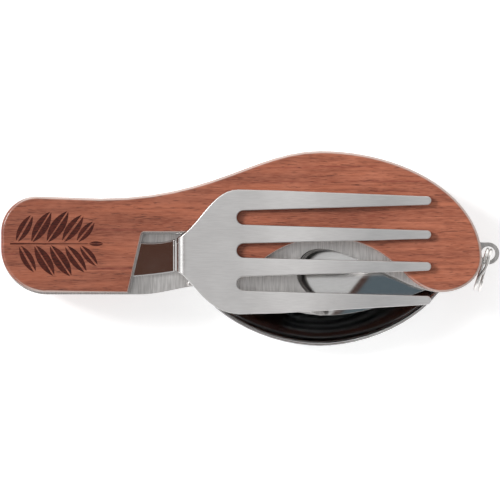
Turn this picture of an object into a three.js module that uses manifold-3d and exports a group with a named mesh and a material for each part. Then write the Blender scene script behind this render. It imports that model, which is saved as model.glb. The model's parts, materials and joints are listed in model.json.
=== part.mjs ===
// Folding camping cutlery tool: fork, knife and spoon folded round a flat steel handle with wooden scales.
// Millimetres, +Z up. It lies with the fork on top and the spoon bowl below, the handle along X.
import * as THREE from 'three';
import * as BufferGeometryUtils from 'three/addons/utils/BufferGeometryUtils.js';
import Module from 'manifold-3d';

// Thicknesses of the stack, from the back of the handle to the front
const scaleThickness = 3.2;
const outerLinerThickness = 0.8;
const innerLinerThickness = 0.8;
const middleLinerThickness = 1.2;
const toolThickness = 1.6;
const toolPlay = 0.1;
const dockGap = 0.1;
const headClearance = 0.4;

// Handle outline, with the hinge pins of all three tools at X 0, Y 0
const handleLeft = -11.2;
const handleTop = 11.2;
const handleBottom = -11.2;
const topCornerRadius = 8.2;
const bottomCornerRadius = 10.5;
const shoulderStartX = 11.4;
const shoulderStartY = 10.7;
const domeCentreX = 61.6;
const domeCentreY = -2.85;
const domeLength = 36.9;
const domeHeight = 24.4;
const domeShoulder = 14.8;
const shoulderRun = 26.2;
const heelInset = 9.6;
const heelY = -10.7;
const heelRun = 6;
const heelRise = 4.1;
const linerLip = 0.5;
const scaleEdgeRadius = 0.9;
const lowerEdgeRun = 2.4;

// Curves of the plates' lower edge, each with its two handles and its end: the lobe behind the
// neck, the hook it ends in, and the thumb cut-out up to its peak and down again
const neckLobe = [26, -11.2, 29.5, -9.3, 34.5, -9.2];
const bladeLobe = [46, -9.1, 56, -13.6, 60.7, -15.75];
const hookTip = [61.7, -16.1, 63.3, -16, 62.3, -15];
const cutOutRise = [61.6, -12.9, 56.4, -9.9, 56.35, -6.8];
const cutOutPeak = [56.3, -3.6, 57.4, -0.75, 61.8, -0.75];
const cutOutFall = [65.6, -0.75, 71.2, -3.8, 75.9, -6];
const cutOutFoot = [79.2, -7.4, 84.2, -10.5];

// Notch that the necks of fork and spoon swing out of, and the finger scoop
const notchTop = 3.1;
const notchLeftTop = 20.9;
const notchLeftBottom = 17.6;
const notchRadius = 33;
const notchLinerLip = 0.35;
const notchCorner = 0.7;
const scoopCentreX = 63.1;
const scoopCentreY = -21.7;
const scoopRadius = 23.5;
const scoopLeftAngle = 136;
const scoopRightAngle = 41;
const toothLowY = -7;
const toothWidth = 0.6;
const scoopEndRun = 2;
const scoopRootRun = 1.7;
const scaleHeelRun = 3.1;
const scaleHeelRise = 0.25;
const scaleNotchFoot = -5;
const linerNotchFoot = -16.3;

// Hinge end of fork, knife and spoon
const tangRadius = 7.4;
const pivotRadius = 2.5;
const pivotPlay = 0.15;
const neckLower = -7.0;
const neckUpper = 0.6;
const tangAngle = 60;
const tangCurve = [14, 1.2, 9, 3.5];
const neckStartX = 19.2;
const neckSag = 0.1;
const neckCurve = [25, -6.6];
const neckTopX = 21.5;
const neckTopCurve = [27, 0.3];
const neckEndLow = [28.8, -5.9];
const neckEndHigh = [30.1, 2.3];
const bendRadius = 1;
const bendAngle = 84;
const bendStart = 28.1;

// Fork head
const headAxisY = -1.45;
const headHalfWidth = 14.2;
const headThickness = 1.5;
const headWideX = 43;
const headSideRun = 9;
const headSideFall = 0.2;
const shoulderLow = [32.5, -7.2, 34.8, -15.2];
const shoulderHigh = [37.2, 12.8, 34.4, 5.3];
const tineAxisY = -1.15;
const slotEndX = 44.2;
const slotHalfWidth = 1.6;
const slotSpacing = 7.52;
const tineTipX = 86.9;
const tipHalfWidth = 1;
const outerTineOffset = 11.35;
const innerTineOffset = 3.62;
const tineArch = 0.7;

// Knife blade
const spineLowY = -15.95;
const spineLowX = 62;
const bladeRootX = 20;
const bladeRootDrop = 0.6;
const bellyCurve = [41, -7.6, 49, -15.3];
const pointCurve = [71, -16.2, 79, -12.6, 85.3, -10.3];
const bladeTipCurve = [89.5, -8.6];
const edgeCurve = [88, -0.6, 80];
const edgeStartX = 70;
const bladeTipInset = 6.5;
const bladeTipY = -5.2;
const edgeY = 1.4;
const bladeHeelX = 25;
const bladeHeelRun = 2;
const bladeHeelFoot = 1.2;
const bladeHeelDrop = 0.8;
const grindY = -7.5;
const edgeThickness = 0.25;

// Spoon bowl
const bowlStartX = 30.2;
const bowlCentreY = -1.25;
const bowlHalfLength = 31.4;
const bowlHalfWidth = 22;
const bowlHeight = 7.5;
const bowlWall = 1.1;
const bowlPlanPower = 1.85;
const bowlDepthPower = 3;
const bowlWallPower = 0.8;
const strapRun = 6;
const strapLow = -5.6;
const strapHigh = 2.6;

// Back springs, rivets and docking studs
const springWidth = 4.2;
const springNoseX = -6.5;
const springNoseGap = 0.2;
const rivetRadius = 1.1;
const rivetPlay = 0.15;
const leftRivetShare = 0.31;
const rightRivetShare = 0.93;
const studShankRadius = 1.2;
const studHeadRadius = 2.2;
const studHeadThickness = 0.7;
const studPlay = 0.15;
const leftStud = [41.5, 4.7];
const rightStudInset = 14.5;
const rightStudY = 1;
const dockTravel = 6.5;

// Eyelet on the middle liner and the split ring in it
const eyeletReach = 1.6;
const eyeletY = -1.8;
const eyeletRadius = 2.55;
const eyeletHole = 1.6;
const lugLength = 5;
const ringOuterRadius = 5.2;
const wireRadius = 0.36;
const wireSeat = 0.95;
const turnGap = 0.05;
const turnSpread = 0.15;
const ringAzimuth = -107;
const crossAngle = 50;
const crossPlace = 120;

// Places along the handle that go with its right end
const handleRight = domeCentreX + domeLength;
const heelX = handleRight - heelInset;
const bladeTipX = handleRight - bladeTipInset;
const eyeletX = handleRight + eyeletReach;
const studPlaces = [leftStud, [handleRight - rightStudInset, rightStudY]];

// Levels of the stack, counted from the back face of the handle
const layerThickness = toolThickness + 2 * toolPlay;
const spoonLinerZ = scaleThickness;
const spoonLayerZ = spoonLinerZ + outerLinerThickness;
const middleLinerZ = spoonLayerZ + layerThickness;
const knifeLayerZ = middleLinerZ + middleLinerThickness;
const knifeLinerZ = knifeLayerZ + layerThickness;
const frontInnerZ = knifeLinerZ + innerLinerThickness + dockGap;
const forkLayerZ = frontInnerZ + innerLinerThickness;
const frontOuterZ = forkLayerZ + layerThickness;
const frontScaleZ = frontOuterZ + outerLinerThickness;
const frontFaceZ = frontScaleZ + scaleThickness;

// Fineness of curves, rounds and bowl
const segments = 12;
const roundSides = 28;
const bowlSides = 64;
const bowlRings = 10;
const bendSteps = 6;
const runSteps = 12;
const edgeSteps = 40;
const ringSteps = 96;
const wireSides = 4;
const doublePoint = 0.01;
const cutMargin = 2;
const stripHalfWidth = 30;

const degrees = Math.PI / 180;
const wasm = await Module();
wasm.setup();

const wood = new THREE.MeshStandardMaterial({ color: 0x9c6150, roughness: 0.55, metalness: 0 });
const satinSteel = new THREE.MeshStandardMaterial({ color: 0xa8a5a2, roughness: 0.4, metalness: 1 });
const brightSteel = new THREE.MeshStandardMaterial({ color: 0xbebcba, roughness: 0.25, metalness: 1 });
const mirrorSteel = new THREE.MeshStandardMaterial({ color: 0xc8c8c6, roughness: 0.08, metalness: 1 });
const wireSteel = new THREE.MeshStandardMaterial({ color: 0xc4bdb9, roughness: 0.2, metalness: 1 });

// Booleans on closed meshes
function toSolid(geometry) {
  let bare = geometry.index ? geometry.clone() : geometry;
  bare.deleteAttribute('normal');
  bare.deleteAttribute('uv');
  bare = BufferGeometryUtils.mergeVertices(bare, 1e-5);
  const corners = bare.index.array;
  const triVerts = [];
  for (let i = 0; i < corners.length; i += 3) {
    const [a, b, c] = corners.slice(i, i + 3);
    if (a !== b && b !== c && c !== a) triVerts.push(a, b, c);
  }
  const vertProperties = new Float32Array(bare.attributes.position.array);
  const mesh = new wasm.Mesh({ numProp: 3, vertProperties, triVerts: new Uint32Array(triVerts) });
  return new wasm.Manifold(mesh);
}

function toGeometry(solid) {
  const mesh = solid.getMesh();
  const geometry = new THREE.BufferGeometry();
  geometry.setAttribute('position', new THREE.BufferAttribute(new Float32Array(mesh.vertProperties), 3));
  geometry.setIndex(new THREE.BufferAttribute(new Uint32Array(mesh.triVerts), 1));
  return geometry;
}

// The same outline as plain points, without the doubled ones where two curves meet
function tidyPoints(points) {
  const kept = points.filter((point, index) => (
    index === 0 || point.distanceTo(points[index - 1]) > doublePoint
  ));
  if (kept[0].distanceTo(kept[kept.length - 1]) < doublePoint) {
    kept.pop();
  }
  return kept;
}

function tidyShape(shape) {
  const outline = shape.extractPoints(segments);
  const tidy = new THREE.Shape(tidyPoints(outline.shape));
  tidy.holes = outline.holes.map((hole) => new THREE.Path(tidyPoints(hole)));
  return tidy;
}

function plate(shape, bottom, thickness) {
  const geometry = new THREE.ExtrudeGeometry(tidyShape(shape), { depth: thickness, bevelEnabled: false });
  geometry.translate(0, 0, bottom);
  return geometry;
}

function disc(x, y, radius, bottom, thickness) {
  const geometry = new THREE.CylinderGeometry(radius, radius, thickness, roundSides);
  geometry.rotateX(Math.PI / 2);
  geometry.translate(x, y, bottom + thickness / 2);
  return geometry;
}

function roundHole(x, y, radius) {
  const hole = new THREE.Path();
  hole.absarc(x, y, radius, 0, 2 * Math.PI, true);
  return hole;
}

// Outline shared by scales and liners: up the right end, over the dome and back to the left end
function addBackEdge(path) {
  const domeTop = domeCentreY + domeHeight;
  const shoulderEndX = shoulderStartX + shoulderRun;
  const cornerX = handleLeft + topCornerRadius;
  const cornerY = handleTop - topCornerRadius;
  path.bezierCurveTo(
    heelX + heelRun, heelY,
    handleRight, domeCentreY - heelRise,
    handleRight, domeCentreY,
  );
  path.absellipse(domeCentreX, domeCentreY, domeLength, domeHeight, 0, Math.PI / 2, false);
  path.bezierCurveTo(
    domeCentreX - domeShoulder, domeTop,
    shoulderEndX, shoulderStartY,
    shoulderStartX, shoulderStartY,
  );
  path.lineTo(cornerX, handleTop);
  path.absarc(cornerX, cornerY, topCornerRadius, Math.PI / 2, Math.PI, false);
}

function addLeftCorner(path, bottom) {
  const centreX = handleLeft + bottomCornerRadius;
  const centreY = handleBottom + bottomCornerRadius;
  const fall = centreY - bottom;
  path.moveTo(handleLeft, centreY);
  path.absellipse(centreX, centreY, bottomCornerRadius, fall, Math.PI, 1.5 * Math.PI, false);
}

// Notch from its open foot on the left, along its top and down the arc on the right
function addNotch(path, lip, bottom, footAngle) {
  const left = notchLeftTop + lip;
  const top = notchTop - lip;
  const radius = notchRadius - lip;
  const leanPerMm = (notchLeftTop - notchLeftBottom) / (notchTop - handleBottom);
  path.lineTo(left - (top - bottom) * leanPerMm, bottom);
  path.lineTo(left - notchCorner * leanPerMm, top - notchCorner);
  path.quadraticCurveTo(left, top, left + notchCorner, top);
  path.lineTo(Math.sqrt(radius * radius - top * top), top);
  path.absarc(0, 0, radius, Math.asin(top / radius), footAngle * degrees, true);
}

// Wooden scale: notch, the tooth between notch and scoop, and the scoop
function scaleShape() {
  const shape = new THREE.Shape();
  const bottom = handleBottom + linerLip;
  const leftAngle = scoopLeftAngle * degrees;
  const rightAngle = scoopRightAngle * degrees;
  const leftX = scoopCentreX + scoopRadius * Math.cos(leftAngle);
  const leftY = scoopCentreY + scoopRadius * Math.sin(leftAngle);
  const rightX = scoopCentreX + scoopRadius * Math.cos(rightAngle);
  const rightY = scoopCentreY + scoopRadius * Math.sin(rightAngle);
  addLeftCorner(shape, bottom);
  addNotch(shape, 0, bottom, scaleNotchFoot);
  shape.bezierCurveTo(
    notchRadius - toothWidth, toothLowY,
    leftX - scoopEndRun, leftY - scoopEndRun,
    leftX, leftY,
  );
  shape.absarc(scoopCentreX, scoopCentreY, scoopRadius, leftAngle, rightAngle, true);
  shape.bezierCurveTo(
    rightX + scoopRootRun, rightY - scoopEndRun,
    heelX - scaleHeelRun, heelY + scaleHeelRise,
    heelX, heelY,
  );
  addBackEdge(shape);
  return shape;
}

// Liner: the whole handle plate, with or without the notch for a neck
function linerShape(hasNotch) {
  const shape = new THREE.Shape();
  addLeftCorner(shape, handleBottom);
  if (hasNotch) {
    addNotch(shape, notchLinerLip, handleBottom, linerNotchFoot);
  } else {
    shape.lineTo(notchLeftBottom + lowerEdgeRun, handleBottom);
    shape.bezierCurveTo(...neckLobe);
  }
  shape.bezierCurveTo(...bladeLobe);
  shape.bezierCurveTo(...hookTip);
  shape.bezierCurveTo(...cutOutRise);
  shape.bezierCurveTo(...cutOutPeak);
  shape.bezierCurveTo(...cutOutFall);
  shape.bezierCurveTo(...cutOutFoot, heelX, heelY);
  addBackEdge(shape);
  shape.holes.push(roundHole(0, 0, pivotRadius + rivetPlay));
  for (const [x, y] of rivetPlaces()) {
    shape.holes.push(roundHole(x, y, rivetRadius + rivetPlay));
  }
  return shape;
}

// Points along the top edge of the handle, from the spring nose to the right end
function topEdge(count) {
  const path = new THREE.Path();
  const domeTop = domeCentreY + domeHeight;
  const cornerX = handleLeft + topCornerRadius;
  const cornerY = handleTop - topCornerRadius;
  const noseRun = springNoseX - cornerX;
  const startAngle = Math.acos(noseRun / topCornerRadius);
  path.absarc(cornerX, cornerY, topCornerRadius, startAngle, Math.PI / 2, true);
  path.lineTo(shoulderStartX, shoulderStartY);
  path.bezierCurveTo(
    shoulderStartX + shoulderRun, shoulderStartY,
    domeCentreX - domeShoulder, domeTop,
    domeCentreX, domeTop,
  );
  path.absellipse(domeCentreX, domeCentreY, domeLength, domeHeight, Math.PI / 2, 0, true);
  return path.getSpacedPoints(count);
}

function insetPoint(points, index, inset) {
  const before = points[Math.max(index - 1, 0)];
  const after = points[Math.min(index + 1, points.length - 1)];
  const along = after.clone().sub(before).normalize();
  return new THREE.Vector2(points[index].x + along.y * inset, points[index].y - along.x * inset);
}

function rivetPlaces() {
  const points = topEdge(100);
  return [leftRivetShare, rightRivetShare].map((share) => {
    const place = insetPoint(points, Math.round(share * 100), springWidth / 2);
    return [place.x, place.y];
  });
}

function springShape() {
  const outer = topEdge(edgeSteps);
  const underside = tangRadius + springNoseGap;
  const inner = outer.map((point, index) => {
    const place = insetPoint(outer, index, springWidth);
    place.y = place.x < shoulderStartX ? Math.max(place.y, underside) : place.y;
    return place;
  });
  inner[0].x = springNoseX;
  const shape = new THREE.Shape([...inner, ...outer.reverse()]);
  for (const [x, y] of rivetPlaces()) {
    shape.holes.push(roundHole(x, y, rivetRadius + rivetPlay));
  }
  return shape;
}

// Round end of a tool and the upper side of its neck, ending at the lower side of the pivot
function addTang(path) {
  const angle = tangAngle * degrees;
  path.bezierCurveTo(...tangCurve, tangRadius * Math.cos(angle), tangRadius * Math.sin(angle));
  path.absarc(0, 0, tangRadius, angle, 1.5 * Math.PI, false);
}

// Lower side of the neck of fork and spoon
function addNeck(path, endX, endY) {
  path.moveTo(0, -tangRadius);
  path.lineTo(neckStartX, neckLower - neckSag);
  path.quadraticCurveTo(...neckCurve, endX, endY);
}

// Side line of a tool that steps from the handle to its head: flat, two bends and a run
function stepLine(level, headLevel, endX, arch, archStart) {
  const side = Math.sign(headLevel - level);
  const turn = bendAngle * degrees;
  const rise = Math.abs(headLevel - level) - 2 * bendRadius * (1 - Math.cos(turn));
  const secondX = bendStart + 2 * bendRadius * Math.sin(turn) + rise / Math.tan(turn);
  const line = [new THREE.Vector2(-tangRadius - 1, level)];
  for (let i = 0; i <= bendSteps; i++) {
    const angle = turn * i / bendSteps;
    line.push(new THREE.Vector2(
      bendStart + bendRadius * Math.sin(angle),
      level + side * bendRadius * (1 - Math.cos(angle)),
    ));
  }
  for (let i = bendSteps; i >= 0; i--) {
    const angle = turn * i / bendSteps;
    line.push(new THREE.Vector2(
      secondX - bendRadius * Math.sin(angle),
      headLevel - side * bendRadius * (1 - Math.cos(angle)),
    ));
  }
  line.push(new THREE.Vector2(archStart, headLevel));
  for (let i = 1; i <= runSteps; i++) {
    const share = i / runSteps;
    const lift = arch * Math.sin(Math.PI * share) ** 2;
    line.push(new THREE.Vector2(archStart + (endX - archStart) * share, headLevel + lift));
  }
  return line;
}

// Strip of even thickness along a side line, as wide as needed to be cut by an outline
function ribbon(line, thickness, halfWidth) {
  const upper = [];
  const lower = [];
  line.forEach((point, index) => {
    const here = Math.max(index, 1);
    const next = Math.min(index + 1, line.length - 1);
    const before = line[here].clone().sub(line[here - 1]).normalize();
    const after = line[next].clone().sub(line[next - 1]).normalize();
    const along = before.add(after).normalize();
    const reach = thickness / 2 / along.dot(after);
    upper.push(new THREE.Vector2(point.x - along.y * reach, point.y + along.x * reach));
    lower.push(new THREE.Vector2(point.x + along.y * reach, point.y - along.x * reach));
  });
  const shape = new THREE.Shape([...lower, ...upper.reverse()]);
  const geometry = new THREE.ExtrudeGeometry(shape, { depth: 2 * halfWidth, bevelEnabled: false });
  geometry.rotateX(Math.PI / 2);
  geometry.translate(0, halfWidth, 0);
  return toSolid(geometry);
}

function forkShape() {
  const shape = new THREE.Shape();
  const lowSide = headAxisY - headHalfWidth;
  const highSide = headAxisY + headHalfWidth;
  const tipStart = tineTipX - tipHalfWidth;
  const tines = [-outerTineOffset, -innerTineOffset, innerTineOffset, outerTineOffset];
  const slots = [-slotSpacing, 0, slotSpacing];
  addNeck(shape, ...neckEndLow);
  shape.bezierCurveTo(...shoulderLow, headWideX, lowSide);
  shape.lineTo(headWideX + headSideRun, lowSide + headSideFall);
  tines.forEach((offset, index) => {
    const tipY = tineAxisY + offset;
    shape.lineTo(tipStart, tipY - tipHalfWidth);
    shape.absarc(tipStart, tipY, tipHalfWidth, -Math.PI / 2, Math.PI / 2, false);
    if (index < slots.length) {
      const slotY = tineAxisY + slots[index];
      shape.lineTo(slotEndX, slotY - slotHalfWidth);
      shape.absarc(slotEndX, slotY, slotHalfWidth, 1.5 * Math.PI, Math.PI / 2, true);
    }
  });
  shape.lineTo(headWideX + headSideRun, highSide - headSideFall);
  shape.lineTo(headWideX, highSide);
  shape.bezierCurveTo(...shoulderHigh, ...neckEndHigh);
  shape.quadraticCurveTo(...neckTopCurve, neckTopX, neckUpper);
  addTang(shape);
  shape.holes.push(roundHole(0, 0, pivotRadius + pivotPlay));
  return shape;
}

function forkGeometry() {
  const level = forkLayerZ + layerThickness / 2;
  const headLevel = frontFaceZ + headClearance + headThickness / 2;
  const line = stepLine(level, headLevel, tineTipX + 1, tineArch, slotEndX);
  const strip = ribbon(line, headThickness, stripHalfWidth);
  const low = forkLayerZ - cutMargin;
  const outline = plate(forkShape(), low, headLevel - low + headThickness + cutMargin);
  return toGeometry(strip.intersect(toSolid(outline)));
}

function knifeGeometry() {
  const shape = new THREE.Shape();
  shape.moveTo(0, -tangRadius);
  shape.lineTo(bladeRootX, neckLower - bladeRootDrop);
  shape.bezierCurveTo(...bellyCurve, spineLowX, spineLowY);
  shape.bezierCurveTo(...pointCurve);
  shape.quadraticCurveTo(...bladeTipCurve, bladeTipX, bladeTipY);
  shape.bezierCurveTo(...edgeCurve, edgeY, edgeStartX, edgeY);
  shape.lineTo(bladeHeelX + bladeHeelRun, edgeY);
  shape.quadraticCurveTo(bladeHeelX, edgeY, bladeHeelX - bladeHeelFoot, neckUpper - bladeHeelDrop);
  addTang(shape);
  shape.holes.push(roundHole(0, 0, pivotRadius + pivotPlay));
  const bottom = knifeLayerZ + toolPlay;
  const middle = bottom + toolThickness / 2;
  let blade = toSolid(plate(shape, bottom, toolThickness));
  for (const side of [-1, 1]) {
    const face = middle + side * (toolThickness / 2);
    const outside = face + side;
    const edge = middle + side * edgeThickness / 2;
    const wedge = new THREE.Shape();
    wedge.moveTo(grindY, face);
    wedge.lineTo(edgeY, edge);
    wedge.lineTo(edgeY + cutMargin, edge);
    wedge.lineTo(edgeY + cutMargin, outside);
    wedge.lineTo(grindY, outside);
    const length = bladeTipX - bladeHeelX;
    const cutter = new THREE.ExtrudeGeometry(wedge, { depth: length, bevelEnabled: false });
    cutter.rotateX(Math.PI / 2);
    cutter.rotateZ(Math.PI / 2);
    cutter.translate(bladeHeelX + bladeHeelRun, 0, 0);
    blade = blade.subtract(toSolid(cutter));
  }
  return toGeometry(blade);
}

// Closed bowl form: a lathe body drawn out to the bowl's plan, with its flat top at the given level
function bowlSolid(halfLength, halfWidth, height, rimZ, topZ) {
  const profile = [];
  for (let i = 0; i <= bowlRings; i++) {
    const share = Math.sin(Math.PI / 2 * i / bowlRings);
    const depth = height * (1 - share ** bowlDepthPower) ** bowlWallPower;
    profile.push(new THREE.Vector2(share, rimZ - depth));
  }
  profile.push(new THREE.Vector2(1, topZ));
  profile.push(new THREE.Vector2(0, topZ));
  const geometry = new THREE.LatheGeometry(profile, bowlSides);
  geometry.rotateX(Math.PI / 2);
  const position = geometry.attributes.position;
  const rounding = 2 / bowlPlanPower;
  const centreX = bowlStartX + bowlHalfLength;
  for (let i = 0; i < position.count; i++) {
    const radius = Math.hypot(position.getX(i), position.getY(i));
    const angle = Math.atan2(position.getY(i), position.getX(i));
    const cos = Math.cos(angle);
    const sin = Math.sin(angle);
    const along = Math.sign(cos) * Math.abs(cos) ** rounding;
    const across = Math.sign(sin) * Math.abs(sin) ** rounding;
    position.setX(i, centreX + halfLength * radius * along);
    position.setY(i, bowlCentreY + halfWidth * radius * across);
  }
  return toSolid(geometry);
}

function spoonGeometry() {
  const level = spoonLayerZ + layerThickness / 2;
  const rimZ = -headClearance;
  const strapLevel = rimZ - headThickness / 2;
  const strapEnd = bowlStartX + strapRun;
  const neck = new THREE.Shape();
  addNeck(neck, bowlStartX, strapLow);
  neck.lineTo(strapEnd, strapLow);
  neck.lineTo(strapEnd, strapHigh);
  neck.lineTo(bowlStartX, strapHigh);
  neck.quadraticCurveTo(...neckTopCurve, neckTopX, neckUpper);
  addTang(neck);
  neck.holes.push(roundHole(0, 0, pivotRadius + pivotPlay));
  const low = strapLevel - headThickness - cutMargin;
  const outline = plate(neck, low, level + toolThickness + cutMargin - low);
  const line = stepLine(level, strapLevel, strapEnd + cutMargin, 0, strapEnd);
  const strap = ribbon(line, headThickness, stripHalfWidth).intersect(toSolid(outline));
  const outside = bowlSolid(bowlHalfLength, bowlHalfWidth, bowlHeight, rimZ, rimZ);
  const innerHalfLength = bowlHalfLength - bowlWall;
  const inside = bowlSolid(innerHalfLength, bowlHalfWidth - bowlWall, bowlHeight - bowlWall, rimZ, rimZ + 1);
  return toGeometry(outside.add(strap).subtract(inside));
}

// Scale with a rounded outer edge, flat where it is glued to its liner
function scaleGeometry(linerFace, facesUp) {
  const geometry = new THREE.ExtrudeGeometry(tidyShape(scaleShape()), {
    depth: scaleThickness - scaleEdgeRadius,
    bevelThickness: scaleEdgeRadius,
    bevelSize: scaleEdgeRadius,
    bevelOffset: -scaleEdgeRadius,
    bevelSegments: 2,
  });
  geometry.translate(0, 0, facesUp ? linerFace : linerFace - scaleThickness + scaleEdgeRadius);
  const handleLength = handleRight - handleLeft;
  const keep = new THREE.BoxGeometry(2 * handleLength, 2 * handleLength, 2 * scaleThickness);
  keep.translate(domeCentreX, 0, linerFace + (facesUp ? scaleThickness : -scaleThickness));
  return toGeometry(toSolid(geometry).intersect(toSolid(keep)));
}

// Middle liner: the plate that carries the lug with the eyelet for the ring
function middleLinerGeometry() {
  const middle = middleLinerZ + middleLinerThickness / 2;
  const body = toSolid(plate(linerShape(false), middleLinerZ, middleLinerThickness));
  const root = new THREE.BoxGeometry(lugLength, 2 * eyeletRadius, middleLinerThickness);
  root.translate(eyeletX - lugLength / 2, eyeletY, middle);
  const eyelet = toSolid(disc(eyeletX, eyeletY, eyeletRadius, middleLinerZ, middleLinerThickness));
  const bore = toSolid(disc(eyeletX, eyeletY, eyeletHole, middleLinerZ - 1, middleLinerThickness + 2));
  return toGeometry(body.add(toSolid(root)).add(eyelet).subtract(bore));
}

// Front inner liner: keyhole slots slide over the heads of the docking studs
function frontInnerShape() {
  const shape = linerShape(false);
  const slotHalf = studShankRadius + studPlay;
  const headHole = studHeadRadius + studPlay;
  const mouth = Math.asin(slotHalf / headHole);
  for (const [x, y] of studPlaces) {
    const hole = new THREE.Path();
    hole.absarc(x, y, slotHalf, -Math.PI / 2, -1.5 * Math.PI, true);
    hole.absarc(x + dockTravel, y, headHole, Math.PI - mouth, mouth - Math.PI, true);
    shape.holes.push(hole);
  }
  return shape;
}

function knifeLinerShape() {
  const shape = linerShape(false);
  for (const [x, y] of studPlaces) {
    shape.holes.push(roundHole(x, y, studShankRadius + studPlay));
  }
  return shape;
}

// Docking stud: a shank through the knife liner with a flat head in the fork layer
function studGeometry([x, y]) {
  const foot = knifeLinerZ;
  const neck = forkLayerZ + toolPlay;
  const head = neck + studHeadThickness;
  const profile = [
    new THREE.Vector2(0, foot),
    new THREE.Vector2(studShankRadius, foot),
    new THREE.Vector2(studShankRadius, neck),
    new THREE.Vector2(studHeadRadius, neck),
    new THREE.Vector2(studHeadRadius, head),
    new THREE.Vector2(0, head),
  ];
  const geometry = new THREE.LatheGeometry(profile, roundSides);
  geometry.rotateX(Math.PI / 2);
  geometry.translate(x, y, 0);
  return toGeometry(toSolid(geometry));
}

// Split ring: two turns of wire side by side, joined by a short cross-over near its end
class RingCurve extends THREE.Curve {
  getPoint(t) {
    const gapAngle = crossAngle * degrees;
    const angle = t * (4 * Math.PI - gapAngle);
    const crossShare = THREE.MathUtils.smoothstep(angle, 2 * Math.PI - gapAngle, 2 * Math.PI);
    const side = 2 * crossShare - 1;
    const fromLug = angle + crossPlace * degrees;
    const spread = turnSpread * (1 - Math.cos(fromLug)) / 2;
    const meanRadius = ringOuterRadius - wireRadius;
    return new THREE.Vector3(
      meanRadius * Math.cos(fromLug),
      side * (wireRadius + turnGap / 2 + spread),
      meanRadius * Math.sin(fromLug),
    );
  }
}

function ringGeometry() {
  const section = new THREE.Shape();
  section.absarc(0, 0, wireRadius, 0, 2 * Math.PI, false);
  const geometry = new THREE.ExtrudeGeometry(section, {
    steps: ringSteps,
    curveSegments: wireSides,
    extrudePath: new RingCurve(),
    bevelEnabled: false,
  });
  const centreDistance = ringOuterRadius - wireRadius - wireSeat;
  geometry.translate(-centreDistance, 0, 0);
  return geometry;
}

const object = new THREE.Group();

function addPiece(name, geometry, material) {
  const mesh = new THREE.Mesh(geometry, material);
  mesh.name = name;
  object.add(mesh);
  return mesh;
}

// Back half: spoon and knife share one hinge pin
addPiece('back_scale', scaleGeometry(spoonLinerZ, false), wood);
addPiece('spoon_outer_liner', plate(linerShape(true), spoonLinerZ, outerLinerThickness), satinSteel);
addPiece('spoon', spoonGeometry(), mirrorSteel);
addPiece('spoon_backspring', plate(springShape(), spoonLayerZ, layerThickness), satinSteel);
addPiece('middle_liner', middleLinerGeometry(), satinSteel);
addPiece('knife', knifeGeometry(), mirrorSteel);
addPiece('knife_backspring', plate(springShape(), knifeLayerZ, layerThickness), satinSteel);
addPiece('knife_outer_liner', plate(knifeLinerShape(), knifeLinerZ, innerLinerThickness), satinSteel);
const backStack = knifeLinerZ + innerLinerThickness - spoonLinerZ;
addPiece('back_pivot_rivet', disc(0, 0, pivotRadius, spoonLinerZ, backStack), satinSteel);
rivetPlaces().forEach(([x, y], index) => {
  const name = ['back_rivet_left', 'back_rivet_right'][index];
  addPiece(name, disc(x, y, rivetRadius, spoonLinerZ, backStack), satinSteel);
});
studPlaces.forEach((place, index) => {
  addPiece(['docking_stud_left', 'docking_stud_right'][index], studGeometry(place), satinSteel);
});

// Front half: the fork, which slides off the studs for use on its own
addPiece('front_inner_liner', plate(frontInnerShape(), frontInnerZ, innerLinerThickness), satinSteel);
addPiece('fork', forkGeometry(), brightSteel);
addPiece('fork_backspring', plate(springShape(), forkLayerZ, layerThickness), satinSteel);
addPiece('front_outer_liner', plate(linerShape(true), frontOuterZ, outerLinerThickness), satinSteel);
addPiece('front_scale', scaleGeometry(frontScaleZ, true), wood);
const frontStack = frontScaleZ - frontInnerZ;
addPiece('fork_pivot_rivet', disc(0, 0, pivotRadius, frontInnerZ, frontStack), satinSteel);
rivetPlaces().forEach(([x, y], index) => {
  const name = ['front_rivet_left', 'front_rivet_right'][index];
  addPiece(name, disc(x, y, rivetRadius, frontInnerZ, frontStack), satinSteel);
});

// Ring in the eyelet, standing on edge across the handle
const ring = addPiece('split_ring', ringGeometry(), wireSteel);
ring.rotation.z = ringAzimuth * degrees + Math.PI;
ring.position.set(eyeletX, eyeletY, middleLinerZ + middleLinerThickness / 2);

// Origin under the middle of the whole object, on the level of its lowest point
const box = new THREE.Box3().setFromObject(object);
object.position.set(-(box.min.x + box.max.x) / 2, -(box.min.y + box.max.y) / 2, -box.min.z);

export default object;
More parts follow.
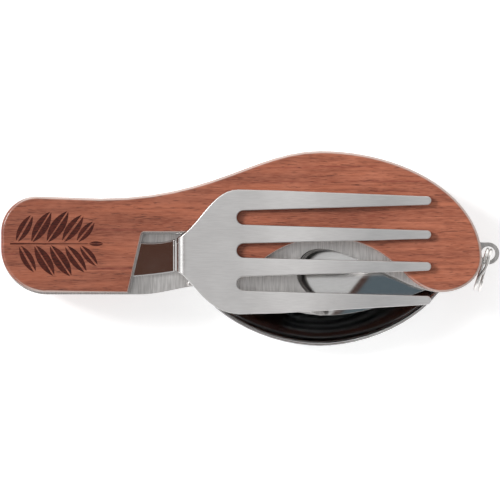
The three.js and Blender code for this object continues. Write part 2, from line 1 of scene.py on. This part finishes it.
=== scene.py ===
import json
import math
import bmesh
import bpy
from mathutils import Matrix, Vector

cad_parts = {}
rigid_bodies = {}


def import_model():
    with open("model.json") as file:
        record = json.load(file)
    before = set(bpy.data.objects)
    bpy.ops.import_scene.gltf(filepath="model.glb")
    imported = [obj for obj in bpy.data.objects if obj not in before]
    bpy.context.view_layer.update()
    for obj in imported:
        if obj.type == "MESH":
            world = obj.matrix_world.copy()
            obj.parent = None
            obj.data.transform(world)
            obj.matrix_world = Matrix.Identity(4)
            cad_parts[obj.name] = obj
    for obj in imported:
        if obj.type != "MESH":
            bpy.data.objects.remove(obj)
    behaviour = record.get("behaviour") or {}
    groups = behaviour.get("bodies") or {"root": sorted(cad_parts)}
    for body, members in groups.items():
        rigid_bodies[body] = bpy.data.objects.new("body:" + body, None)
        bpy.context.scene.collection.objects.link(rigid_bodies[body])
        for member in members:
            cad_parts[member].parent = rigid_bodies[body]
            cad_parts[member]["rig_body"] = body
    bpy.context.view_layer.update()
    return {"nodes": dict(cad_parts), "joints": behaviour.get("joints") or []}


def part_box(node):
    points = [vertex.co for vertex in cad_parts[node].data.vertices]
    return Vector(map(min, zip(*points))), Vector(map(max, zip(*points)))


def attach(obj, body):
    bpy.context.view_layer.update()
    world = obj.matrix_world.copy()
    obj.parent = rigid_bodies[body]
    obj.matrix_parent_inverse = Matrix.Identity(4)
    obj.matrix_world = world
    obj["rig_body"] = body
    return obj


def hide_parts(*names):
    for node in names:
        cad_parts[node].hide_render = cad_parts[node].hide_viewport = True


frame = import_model()
nodes = frame["nodes"]

# The wooden scales. Each is a 3.2 mm slab of reddish hardwood, glued to its steel plate, sanded
# with a soft round outer edge and varnished. The edges of the notch and the finger scoop are only
# broken. Its outline is the frame's own glue face, drawn up to the full thickness.
mm = 0.001
hinge = Vector([j for j in frame["joints"] if j["name"] == "fork_fold"][0]["pos_m"])
back_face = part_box("back_scale")[0].z
outer_round = 0.85 * mm
broken_edge_share = 0.3
level_tolerance = 0.01 * mm
flat_angle = math.radians(0.4)


def spot(x, y, z):
    """A place in millimetres from the hinge line and from the back face of the handle."""
    return Vector((hinge.x + x * mm, hinge.y + y * mm, back_face + z * mm))


def activate(piece):
    bpy.ops.object.select_all(action="DESELECT")
    piece.select_set(True)
    bpy.context.view_layer.objects.active = piece


def merged_copy(node, name):
    piece = bpy.data.objects.new(name, nodes[node].data.copy())
    piece.data.materials.clear()
    bpy.context.scene.collection.objects.link(piece)
    activate(piece)
    bpy.ops.mesh.customdata_custom_splitnormals_clear()
    bpy.ops.object.mode_set(mode="EDIT")
    bpy.ops.mesh.select_all(action="SELECT")
    bpy.ops.mesh.remove_doubles(threshold=2e-6)
    bpy.ops.mesh.dissolve_limited(angle_limit=flat_angle)
    bpy.ops.object.mode_set(mode="OBJECT")
    return piece


def finish_piece(piece, body, material, smooth_angle=30):
    activate(piece)
    bpy.ops.object.shade_smooth_by_angle(angle=math.radians(smooth_angle))
    flat_faces = piece.modifiers.new("flat faces", "WEIGHTED_NORMAL")
    flat_faces.keep_sharp = True
    bpy.ops.object.modifier_apply(modifier=flat_faces.name)
    piece.data.materials.append(material)
    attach(piece, body)
    return piece


def replace_node(piece, node, material, smooth_angle=30):
    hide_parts(node)
    return finish_piece(piece, nodes[node]["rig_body"], material, smooth_angle)


def new_material(name):
    material = bpy.data.materials.new(name)
    material.use_nodes = True
    tree = material.node_tree
    shader = tree.nodes["Principled BSDF"]
    place = tree.nodes.new("ShaderNodeTexCoord").outputs["Object"]
    return material, tree, shader, place


def split_axes(tree, vector):
    node = tree.nodes.new("ShaderNodeSeparateXYZ")
    tree.links.new(vector, node.inputs[0])
    return node.outputs


def surface_normal(tree):
    return tree.nodes.new("ShaderNodeNewGeometry").outputs["Normal"]


def new_group(name, inputs, outputs):
    group = bpy.data.node_groups.new(name, "ShaderNodeTree")
    for label, kind, value in inputs:
        socket = group.interface.new_socket(label, in_out="INPUT", socket_type=kind)
        if value is not None:
            socket.default_value = value
    for label, kind in outputs:
        group.interface.new_socket(label, in_out="OUTPUT", socket_type=kind)
    return group, group.nodes.new("NodeGroupInput"), group.nodes.new("NodeGroupOutput")


def put_group(tree, group, vector):
    node = tree.nodes.new("ShaderNodeGroup")
    node.node_tree = group
    tree.links.new(vector, node.inputs["Vector"])
    return node


def plug(tree, socket, value):
    if isinstance(value, bpy.types.NodeSocket):
        tree.links.new(value, socket)
    elif isinstance(value, tuple) and len(value) == 3 and socket.type == "RGBA":
        socket.default_value = (*value, 1)
    else:
        socket.default_value = value


def calculate(tree, operation, first, second, third=0.0):
    node = tree.nodes.new("ShaderNodeMath")
    node.operation = operation
    for socket, value in zip(node.inputs, (first, second, third)):
        plug(tree, socket, value)
    return node.outputs[0]


def noise(tree, vector, stretch, detail=3.0, offset=(0, 0, 0), distortion=0.0):
    mapping = tree.nodes.new("ShaderNodeMapping")
    mapping.inputs["Scale"].default_value = stretch
    mapping.inputs["Location"].default_value = offset
    tree.links.new(vector, mapping.inputs["Vector"])
    node = tree.nodes.new("ShaderNodeTexNoise")
    node.inputs["Scale"].default_value = 1.0
    node.inputs["Detail"].default_value = detail
    node.inputs["Distortion"].default_value = distortion
    tree.links.new(mapping.outputs["Vector"], node.inputs["Vector"])
    return node.outputs["Fac"]


def ramp(tree, value, low, high):
    node = tree.nodes.new("ShaderNodeMapRange")
    node.interpolation_type = "SMOOTHSTEP"
    node.inputs["From Min"].default_value = low
    node.inputs["From Max"].default_value = high
    tree.links.new(value, node.inputs["Value"])
    return node.outputs["Result"]


def blend(tree, share, first, second):
    node = tree.nodes.new("ShaderNodeMix")
    node.data_type = "RGBA"
    for socket, value in zip((node.inputs[0], node.inputs[6], node.inputs[7]), (share, first, second)):
        plug(tree, socket, value)
    return node.outputs[2]


def bump(tree, height, shader, distance):
    node = tree.nodes.new("ShaderNodeBump")
    node.inputs["Distance"].default_value = distance
    tree.links.new(height, node.inputs["Height"])
    tree.links.new(node.outputs["Normal"], shader.inputs["Normal"])


def wood_figure():
    group, source, result = new_group(
        "wood figure",
        [("Vector", "NodeSocketVector", None), ("Shift", "NodeSocketVector", None)],
        [("Color", "NodeSocketColor"), ("Roughness", "NodeSocketFloat"), ("Height", "NodeSocketFloat")],
    )
    in_mm = group.nodes.new("ShaderNodeVectorMath")
    in_mm.operation = "MULTIPLY_ADD"
    in_mm.inputs[1].default_value = (1000, 1000, 1000)
    group.links.new(source.outputs["Vector"], in_mm.inputs[0])
    group.links.new(source.outputs["Shift"], in_mm.inputs[2])
    place = in_mm.outputs[0]
    bands = ramp(group, noise(group, place, (0.022, 0.26, 0.3), 4.0, (0, 0, 0), 0.3), 0.32, 0.68)
    rings = ramp(group, noise(group, place, (0.05, 1.15, 1.0), 5.0, (3, 5, 1), 0.4), 0.36, 0.62)
    fibre = ramp(group, noise(group, place, (0.45, 5.0, 5.0), 3.0, (7, 2, 4)), 0.28, 0.72)
    pores = ramp(group, noise(group, place, (0.42, 4.4, 4.4), 2.0, (11, 9, 6)), 0.60, 0.72)
    streaks = ramp(group, noise(group, place, (0.016, 0.62, 0.5), 3.0, (2, 8, 3)), 0.60, 0.72)
    cloud = ramp(group, noise(group, place, (0.10, 0.20, 0.2), 2.0, (5, 1, 8)), 0.38, 0.72)
    colour = blend(group, bands, (0.215, 0.056, 0.028), (0.430, 0.140, 0.072))
    colour = blend(group, calculate(group, "MULTIPLY", cloud, 0.5), colour, (0.465, 0.180, 0.110))
    colour = blend(group, calculate(group, "MULTIPLY_ADD", rings, -0.65, 0.65), colour, (0.150, 0.034, 0.016))
    colour = blend(group, calculate(group, "MULTIPLY", streaks, 0.85), colour, (0.170, 0.022, 0.014))
    colour = blend(group, calculate(group, "MULTIPLY", fibre, 0.42), colour, (0.560, 0.225, 0.130))
    colour = blend(group, calculate(group, "MULTIPLY", pores, 0.62), colour, (0.075, 0.018, 0.010))
    group.links.new(colour, result.inputs["Color"])
    group.links.new(calculate(group, "MULTIPLY_ADD", fibre, 0.12, 0.42), result.inputs["Roughness"])
    group.links.new(calculate(group, "MULTIPLY_ADD", fibre, 0.3, calculate(group, "MULTIPLY", pores, -1.0)),
                    result.inputs["Height"])
    return group


figure = wood_figure()


def varnished_wood(name, shift):
    material, tree, shader, place = new_material(name)
    wood = put_group(tree, figure, place)
    wood.inputs["Shift"].default_value = shift
    # A little darker and redder towards the narrow end, lighter towards the far end
    along = ramp(tree, split_axes(tree, place)[0], spot(-15, 0, 0).x, spot(100, 0, 0).x)
    tint = tree.nodes.new("ShaderNodeMix")
    tint.data_type = "RGBA"
    tint.blend_type = "MULTIPLY"
    tint.inputs[0].default_value = 1.0
    tree.links.new(wood.outputs["Color"], tint.inputs[6])
    tree.links.new(blend(tree, along, (0.82, 0.71, 0.68), (1.16, 1.06, 1.04)), tint.inputs[7])
    # The rounded edge is painted pale as a painted highlight of the light it catches, left out at the narrow
    # end
    normal = split_axes(tree, surface_normal(tree))
    rise = calculate(tree, "ABSOLUTE", normal[2], 0.0)
    off_the_face = ramp(tree, calculate(tree, "MULTIPLY", rise, -1.0), -0.97, -0.80)
    off_the_wall = ramp(tree, rise, 0.05, 0.3)
    painted_highlight_share = calculate(tree, "MULTIPLY", off_the_face, off_the_wall)
    painted_highlight_share = calculate(tree, "MULTIPLY", painted_highlight_share, ramp(tree, normal[0], -0.5, -0.15))
    wood_with_painted_edge_highlight = blend(tree, calculate(tree, "MULTIPLY", painted_highlight_share, 0.72), tint.outputs[2], (0.78, 0.66, 0.60))
    tree.links.new(wood_with_painted_edge_highlight, shader.inputs["Base Color"])
    tree.links.new(wood.outputs["Roughness"], shader.inputs["Roughness"])
    shader.inputs["Specular IOR Level"].default_value = 0.3
    shader.inputs["Coat Weight"].default_value = 0.6
    shader.inputs["Coat Roughness"].default_value = 0.2
    bump(tree, wood.outputs["Height"], shader, 0.04 * mm)
    return material


def on_outer_edge(vertex):
    """True away from the notch and the scoop, whose edges are only broken."""
    x, y = (vertex.co.x - hinge.x) / mm, (vertex.co.y - hinge.y) / mm
    in_notch = 16.5 < x < 34.5 and y < 3.6
    in_scoop = 34 < x < 81.5 and y < 2.5
    near_heel = x > 81 and y > -12
    return near_heel or not (in_notch or in_scoop)


def wooden_scale(node, glue_level, outward, material):
    low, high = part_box(node)
    piece = merged_copy(node, node + "_wood")
    bpy.ops.object.mode_set(mode="EDIT")
    shell = bmesh.from_edit_mesh(piece.data)
    bpy.ops.mesh.select_all(action="DESELECT")
    for face in shell.faces:
        face.select_set(abs(face.calc_center_median().z - glue_level) > level_tolerance)
    bmesh.update_edit_mesh(piece.data)
    bpy.ops.mesh.delete(type="FACE")
    bpy.ops.mesh.select_all(action="SELECT")
    bpy.ops.mesh.dissolve_limited(angle_limit=flat_angle)
    bpy.ops.mesh.select_all(action="SELECT")
    lift = (0, 0, outward * (high.z - low.z))
    bpy.ops.mesh.extrude_region_move(TRANSFORM_OT_translate={"value": lift})
    for share, outer in ((1.0, True), (broken_edge_share, False)):
        shell = bmesh.from_edit_mesh(piece.data)
        bpy.ops.mesh.select_mode(type="EDGE")
        bpy.ops.mesh.select_all(action="DESELECT")
        for edge in shell.edges:
            on_face = all(abs(v.co.z - glue_level - lift[2]) < level_tolerance for v in edge.verts)
            edge.select_set(on_face and all(on_outer_edge(v) for v in edge.verts) == outer)
        bmesh.update_edit_mesh(piece.data)
        bpy.ops.transform.edge_bevelweight(value=share)
    bpy.ops.mesh.select_mode(type="VERT")
    bpy.ops.mesh.select_all(action="SELECT")
    bpy.ops.mesh.normals_make_consistent(inside=False)
    bpy.ops.object.mode_set(mode="OBJECT")
    edge_round = piece.modifiers.new("round", "BEVEL")
    edge_round.width = outer_round
    edge_round.segments = 7
    edge_round.limit_method = "WEIGHT"
    edge_round.use_clamp_overlap = False
    bpy.ops.object.modifier_apply(modifier=edge_round.name)
    return replace_node(piece, node, material, 40)


front_wood = varnished_wood("front scale wood", (0, 0, 0))
back_wood = varnished_wood("back scale wood", (140, 63, 20))
wooden_scale("front_scale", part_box("front_scale")[0].z, 1, front_wood)
wooden_scale("back_scale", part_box("back_scale")[1].z, -1, back_wood)


# The ornament on the front scale, a plain leaf sprig burnt into the wood. Each leaf is two burnt
# halves with a rib of bare wood between them. The char is drawn as a film of 0.03 mm on the wood.
film = 0.03 * mm
front_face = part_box("front_scale")[1].z
sprig_axis = 0.4
stem_length, stem_width = 17.8 * mm, 0.35 * mm
leaf_slimness = 0.165


def burnt_half_leaf(root, direction, length, width, side):
    radius = (width ** 2 + (length / 2) ** 2) / (2 * width)
    bpy.ops.object.select_all(action="DESELECT")
    bpy.ops.mesh.primitive_circle_add(vertices=72, radius=radius, fill_type="NGON", location=(0, 0, 0))
    half = bpy.context.object
    bpy.ops.object.mode_set(mode="EDIT")
    bpy.ops.mesh.select_all(action="SELECT")
    bpy.ops.mesh.bisect(plane_co=(0, radius - width, 0), plane_no=(0, 1, 0), clear_inner=True)
    bpy.ops.mesh.select_all(action="SELECT")
    bpy.ops.transform.translate(value=(length / 2, width * 0.12 - radius + width, -film / 2))
    bpy.ops.mesh.extrude_region_move(TRANSFORM_OT_translate={"value": (0, 0, film)})
    bpy.ops.mesh.select_all(action="SELECT")
    if side < 0:
        bpy.ops.transform.resize(value=(1, -1, 1), center_override=(0, 0, 0))
    bpy.ops.mesh.normals_make_consistent(inside=False)
    bpy.ops.object.mode_set(mode="OBJECT")
    half.rotation_euler = (0, 0, direction)
    half.location = root
    return half


def burnt_sprig():
    parts = []
    # Pairs of leaves: place along the stem in mm, lean in degrees and length in mm
    pairs = [(-7.6, 60, 7.0), (-4.1, 58, 8.0), (-0.6, 56, 8.3), (2.9, 53, 7.6), (6.2, 50, 6.0)]
    for x, lean, length in pairs:
        for side in (1, -1):
            root = spot(x + (0.7 if side < 0 else 0), side * 0.45 + sprig_axis, 0)
            root.z = front_face + film / 2
            for half in (1, -1):
                direction = math.radians(side * lean)
                parts.append(burnt_half_leaf(root, direction, length * mm, length * leaf_slimness * mm, half))
    for half in (1, -1):
        root = spot(8.9, sprig_axis, 0)
        root.z = front_face + film / 2
        parts.append(burnt_half_leaf(root, 0, 3.2 * mm, 0.5 * mm, half))
    bpy.ops.object.select_all(action="DESELECT")
    bpy.ops.mesh.primitive_cube_add(size=1, location=(0, 0, 0))
    stem = bpy.context.object
    bpy.ops.object.mode_set(mode="EDIT")
    bpy.ops.mesh.select_all(action="SELECT")
    bpy.ops.transform.resize(value=(stem_length, stem_width, film), center_override=(0, 0, 0))
    shell = bmesh.from_edit_mesh(stem.data)
    bpy.ops.mesh.select_all(action="DESELECT")
    for vertex in shell.verts:
        vertex.select_set(vertex.co.x > 0)
    shell.select_flush_mode()
    bmesh.update_edit_mesh(stem.data)
    bpy.ops.transform.resize(value=(1, 0.3, 1), center_override=(0, 0, 0))
    bpy.ops.object.mode_set(mode="OBJECT")
    stem.location = spot(-0.2, sprig_axis, 0)
    stem.location.z = front_face + film / 2
    parts.append(stem)
    bpy.ops.object.select_all(action="DESELECT")
    for part in parts:
        part.select_set(True)
    bpy.context.view_layer.objects.active = stem
    bpy.ops.object.join()
    bpy.ops.object.transform_apply(location=True, rotation=True, scale=True)
    stem.name = "burnt_leaf_sprig"
    return stem


material, tree, shader, place = new_material("burnt wood")
char = ramp(tree, noise(tree, place, (900, 4200, 900), 3.0), 0.3, 0.7)
tree.links.new(blend(tree, char, (0.030, 0.004, 0.002), (0.090, 0.016, 0.009)), shader.inputs["Base Color"])
tree.links.new(calculate(tree, "MULTIPLY_ADD", char, 0.15, 0.6), shader.inputs["Roughness"])
shader.inputs["Specular IOR Level"].default_value = 0.2
bump(tree, char, shader, 0.05 * mm)
finish_piece(burnt_sprig(), "fork_half", material, 20)


# The plates and back springs. They are blanked from sheet steel, and their faces keep the fine
# upright lines of the grinding belt. A tumbled edge catches the light as a thin pale rim.
def steel_grain():
    group, source, result = new_group(
        "steel grain",
        [("Vector", "NodeSocketVector", None), ("Lines", "NodeSocketVector", None),
         ("Roughness", "NodeSocketFloat", 0.3), ("Spread", "NodeSocketFloat", 0.1)],
        [("Roughness", "NodeSocketFloat"), ("Height", "NodeSocketFloat"), ("Tone", "NodeSocketFloat")],
    )
    stretch = group.nodes.new("ShaderNodeVectorMath")
    stretch.operation = "MULTIPLY"
    group.links.new(source.outputs["Vector"], stretch.inputs[0])
    group.links.new(source.outputs["Lines"], stretch.inputs[1])
    lines = noise(group, stretch.outputs[0], (1, 1, 1), 3.0)
    patches = ramp(group, noise(group, source.outputs["Vector"], (90, 90, 90), 2.0), 0.35, 0.7)
    swing = calculate(group, "MULTIPLY", calculate(group, "SUBTRACT", lines, 0.5), source.outputs["Spread"])
    rough = calculate(group, "ADD", swing, source.outputs["Roughness"])
    rough = calculate(group, "MULTIPLY_ADD", patches, 0.03, rough)
    group.links.new(rough, result.inputs["Roughness"])
    group.links.new(lines, result.inputs["Height"])
    group.links.new(ramp(group, lines, 0.3, 0.7), result.inputs["Tone"])
    return group


grain = steel_grain()


def steel(name, dark, light, lines, roughness, spread, depth):
    material, tree, shader, place = new_material(name)
    sheet = put_group(tree, grain, place)
    sheet.inputs["Lines"].default_value = lines
    sheet.inputs["Roughness"].default_value = roughness
    sheet.inputs["Spread"].default_value = spread
    shader.inputs["Metallic"].default_value = 1.0
    tree.links.new(blend(tree, sheet.outputs["Tone"], dark, light), shader.inputs["Base Color"])
    tree.links.new(sheet.outputs["Roughness"], shader.inputs["Roughness"])
    bump(tree, sheet.outputs["Height"], shader, depth)
    return material


def ease_edges(piece, width, segments, angle=40):
    activate(piece)
    bevel = piece.modifiers.new("eased edge", "BEVEL")
    bevel.width = width
    bevel.segments = segments
    bevel.limit_method = "ANGLE"
    bevel.angle_limit = math.radians(angle)
    bevel.use_clamp_overlap = False
    bpy.ops.object.modifier_apply(modifier=bevel.name)


tumbled_edge = 0.14 * mm
ground_steel = steel("ground steel", (0.55, 0.535, 0.52), (0.72, 0.70, 0.685),
                     (3200, 260, 3200), 0.36, 0.22, 4e-6)
for node in ("front_outer_liner", "front_inner_liner", "knife_outer_liner", "middle_liner",
             "spoon_outer_liner", "fork_backspring", "knife_backspring", "spoon_backspring"):
    plate = merged_copy(node, node + "_plate")
    ease_edges(plate, tumbled_edge, 2)
    replace_node(plate, node, ground_steel)


# Hinge pins, rivets and docking studs. They are turned from steel rod and set flush in the plates,
# so only a little of them shows when the halves are apart.
turned_edge = 0.1 * mm
turned_steel = steel("turned steel", (0.50, 0.49, 0.48), (0.58, 0.57, 0.56),
                     (2500, 2500, 2500), 0.3, 0.15, 2e-6)
for node in ("fork_pivot_rivet", "back_pivot_rivet", "front_rivet_left", "front_rivet_right",
             "back_rivet_left", "back_rivet_right", "docking_stud_left", "docking_stud_right"):
    rod = merged_copy(node, node + "_turned")
    ease_edges(rod, turned_edge, 2)
    replace_node(rod, node, turned_steel)


# The fork. One piece of 1.5 mm stainless sheet: the tang and the polished neck lie in the handle,
# the neck steps up over the wood, and the head has a fine satin palm and four tines.
material, tree, shader, place = new_material("fork steel")
sheet = put_group(tree, grain, place)
sheet.inputs["Lines"].default_value = (400, 5000, 5000)
sheet.inputs["Spread"].default_value = 0.05
polished_neck, satin_head = 0.07, 0.34
on_head = ramp(tree, split_axes(tree, place)[0], spot(28.4, 0, 0).x, spot(31.5, 0, 0).x)
rough = calculate(tree, "MULTIPLY_ADD", on_head, satin_head - polished_neck, polished_neck)
tree.links.new(rough, sheet.inputs["Roughness"])
shader.inputs["Metallic"].default_value = 1.0
satin = blend(tree, sheet.outputs["Tone"], (0.735, 0.722, 0.712), (0.785, 0.772, 0.762))
tree.links.new(satin, shader.inputs["Base Color"])
tree.links.new(sheet.outputs["Roughness"], shader.inputs["Roughness"])
bump(tree, sheet.outputs["Height"], shader, 8e-7)
stamped_edge = 0.24 * mm
fork = merged_copy("fork", "fork_sheet")
ease_edges(fork, stamped_edge, 3, 50)
replace_node(fork, "fork", material, 35)


# The knife. A 1.6 mm blade, polished by hand, with a long flat grind from the middle to the edge.
# The polishing leaves the flat a little uneven, so that it mirrors light at the heel and dark
# towards the point. Its back stands out of the open side of the handle, for the thumb.
material, tree, shader, place = new_material("blade steel")
sheet = put_group(tree, grain, place)
sheet.inputs["Lines"].default_value = (600, 5000, 5000)
sheet.inputs["Roughness"].default_value = 0.13
sheet.inputs["Spread"].default_value = 0.05
shader.inputs["Metallic"].default_value = 1.0
bright = blend(tree, sheet.outputs["Tone"], (0.54, 0.535, 0.53), (0.58, 0.575, 0.57))
tree.links.new(bright, shader.inputs["Base Color"])
tree.links.new(sheet.outputs["Roughness"], shader.inputs["Roughness"])
axes = split_axes(tree, place)
slant = calculate(tree, "MULTIPLY_ADD", axes[1], -0.8, axes[0])
lean_at_heel, lean_at_point = -0.24, 0.10
uneven = ramp(tree, slant, spot(72, 0, 0).x, spot(80, 0, 0).x)
lean = tree.nodes.new("ShaderNodeCombineXYZ")
tilt = calculate(tree, "MULTIPLY_ADD", uneven, lean_at_point - lean_at_heel, lean_at_heel)
tree.links.new(tilt, lean.inputs[0])
leaning = tree.nodes.new("ShaderNodeVectorMath")
leaning.operation = "ADD"
tree.links.new(surface_normal(tree), leaning.inputs[0])
tree.links.new(lean.outputs[0], leaning.inputs[1])
even = tree.nodes.new("ShaderNodeVectorMath")
even.operation = "NORMALIZE"
tree.links.new(leaning.outputs[0], even.inputs[0])
tree.links.new(even.outputs[0], shader.inputs["Normal"])
crisp_edge = 0.06 * mm
knife = merged_copy("knife", "knife_blade")
ease_edges(knife, crisp_edge, 2, 25)
replace_node(knife, "knife", material, 20)


# The spoon. Stamped from one sheet like the fork and polished to a mirror, with its rim rounded
# over. The hollow of the bowl is painted darker than the rim and the back, as painted shade.
mirror_steel = steel("mirror steel", (0.66, 0.66, 0.66), (0.70, 0.70, 0.70),
                     (500, 500, 500), 0.1, 0.03, 1e-7)
tree = mirror_steel.node_tree
shader = tree.nodes["Principled BSDF"]
polish = shader.inputs["Base Color"].links[0].from_socket
height = split_axes(tree, tree.nodes["Texture Coordinate"].outputs["Object"])[2]
# Painted shade: the upward-facing hollow below the rim is darkened, a painted dark reflection of the handle's
# shaded underside
facing_up = ramp(tree, split_axes(tree, surface_normal(tree))[2], 0.02, 0.12)
below_rim = calculate(tree, "MULTIPLY", height, -1.0)
painted_hollow_shade = ramp(tree, below_rim, -spot(0, 0, -0.9).z, -spot(0, 0, -1.5).z)
painted_hollow_shade = calculate(tree, "MULTIPLY", painted_hollow_shade, facing_up)
tree.links.new(blend(tree, painted_hollow_shade, polish, (0.22, 0.235, 0.245)), shader.inputs["Base Color"])
rim_round = 0.48 * mm
spoon = merged_copy("spoon", "spoon_sheet")
ease_edges(spoon, rim_round, 4, 50)
replace_node(spoon, "spoon", mirror_steel, 50)


# The split ring. Two turns of hard round wire with a cross-over, nickel plated, standing on edge
# in the eyelet of the middle plate.
ring_wire = steel("ring wire", (0.80, 0.78, 0.76), (0.88, 0.86, 0.84),
                  (1500, 1500, 1500), 0.3, 0.06, 2e-7)
wire_swell = 0.02 * mm
ring = merged_copy("split_ring", "split_ring_wire")
bpy.ops.object.mode_set(mode="EDIT")
bpy.ops.mesh.select_all(action="SELECT")
bpy.ops.mesh.tris_convert_to_quads(face_threshold=math.radians(60), shape_threshold=math.radians(60))
bpy.ops.transform.shrink_fatten(value=wire_swell)
bpy.ops.object.mode_set(mode="OBJECT")
softer = ring.modifiers.new("round wire", "SUBSURF")
softer.levels = softer.render_levels = 2
bpy.ops.object.modifier_apply(modifier=softer.name)
replace_node(ring, "split_ring", ring_wire, 60)


# Floor, lamps and camera. The tool lies on a white floor in a soft room, with a lamp at the upper
# left. The camera looks straight down. Round it and beside it the ceiling is dark, which the
# polished neck and the blade mirror.
bpy.ops.object.select_all(action="DESELECT")
floor_gap = 0.2 * mm
bpy.ops.mesh.primitive_plane_add(size=8, location=(0, 0, -floor_gap))
floor = bpy.context.object
floor.name = "floor"
material, tree, shader, place = new_material("white floor")
shader.inputs["Roughness"].default_value = 1.0
shader.inputs["Specular IOR Level"].default_value = 0.0
mottle = ramp(tree, noise(tree, place, (3, 3, 3), 2.0), 0.2, 0.8)
tree.links.new(blend(tree, mottle, (0.90, 0.90, 0.90), (0.92, 0.92, 0.92)), shader.inputs["Base Color"])
rays = tree.nodes.new("ShaderNodeLightPath")
seen = calculate(tree, "MAXIMUM", rays.outputs["Is Camera Ray"], rays.outputs["Is Glossy Ray"])
seen = calculate(tree, "MAXIMUM", seen, rays.outputs["Is Transmission Ray"])
shader.inputs["Emission Color"].default_value = (1, 1, 1, 1)
floor_glow = 0.52
tree.links.new(calculate(tree, "MULTIPLY", seen, floor_glow), shader.inputs["Emission Strength"])
floor.data.materials.append(material)

# World brightness, and two dark places: tilt from straight up in degrees along X and Y, inner and
# outer radius in degrees, and colour
walls, ceiling = 0.38, 0.80
overhead = ((0.0, 0.0), 5.0, 8.0, (0.085, 0.038, 0.026))
beside_it = ((13.0, 2.0), 8.5, 12.0, (0.135, 0.182, 0.212))
world = bpy.data.worlds.new("soft white room")
bpy.context.scene.world = world
world.use_nodes = True
tree = world.node_tree
background = tree.nodes["Background"]
direction = tree.nodes.new("ShaderNodeTexCoord").outputs["Generated"]
softbox = tree.nodes.new("ShaderNodeVectorMath")
softbox.operation = "DOT_PRODUCT"
tree.links.new(direction, softbox.inputs[0])
softbox.inputs[1].default_value = Vector((-0.42, 0.30, 1)).normalized()
edge, core = math.cos(math.radians(58)), math.cos(math.radians(32))
above = ramp(tree, softbox.outputs["Value"], edge, core)
colour = blend(tree, above, (walls, walls, walls), (ceiling, ceiling, ceiling))
for (tilt_x, tilt_y), inner, outer, dark in (beside_it, overhead):
    towards = Vector((math.tan(math.radians(tilt_x)), math.tan(math.radians(tilt_y)), 1)).normalized()
    match = tree.nodes.new("ShaderNodeVectorMath")
    match.operation = "DOT_PRODUCT"
    tree.links.new(direction, match.inputs[0])
    match.inputs[1].default_value = towards
    edge, core = math.cos(math.radians(outer)), math.cos(math.radians(inner))
    inside = ramp(tree, match.outputs["Value"], edge, core)
    colour = blend(tree, inside, colour, dark)
rays = tree.nodes.new("ShaderNodeLightPath")
tree.links.new(blend(tree, rays.outputs["Is Camera Ray"], colour, (1, 1, 1)), background.inputs["Color"])


def soft_lamp(name, place, target, size, power):
    data = bpy.data.lights.new(name, "AREA")
    data.shape = "RECTANGLE"
    data.size, data.size_y = size
    data.energy = power
    lamp = bpy.data.objects.new(name, data)
    bpy.context.scene.collection.objects.link(lamp)
    lamp.location = place
    lamp.rotation_euler = (Vector(target) - Vector(place)).to_track_quat("-Z", "Y").to_euler()
    return lamp


soft_lamp("upper left lamp", (-0.78, 0.36, 0.85), (0, 0, 0.01), (0.32, 0.32), 9.5)

frame_width = 114.0 * mm
camera_height = 3.0
camera_data = bpy.data.cameras.new("camera")
camera_data.sensor_width = 36
camera_data.lens = 36 * camera_height / frame_width
camera_data.clip_start = 0.01
camera_data.clip_end = 20
camera = bpy.data.objects.new("camera", camera_data)
bpy.context.scene.collection.objects.link(camera)
camera.location = spot(45.6, -1.03, 16.3) + Vector((0, 0, camera_height))
bpy.context.scene.camera = camera
bpy.context.scene.view_settings.view_transform = "Standard"
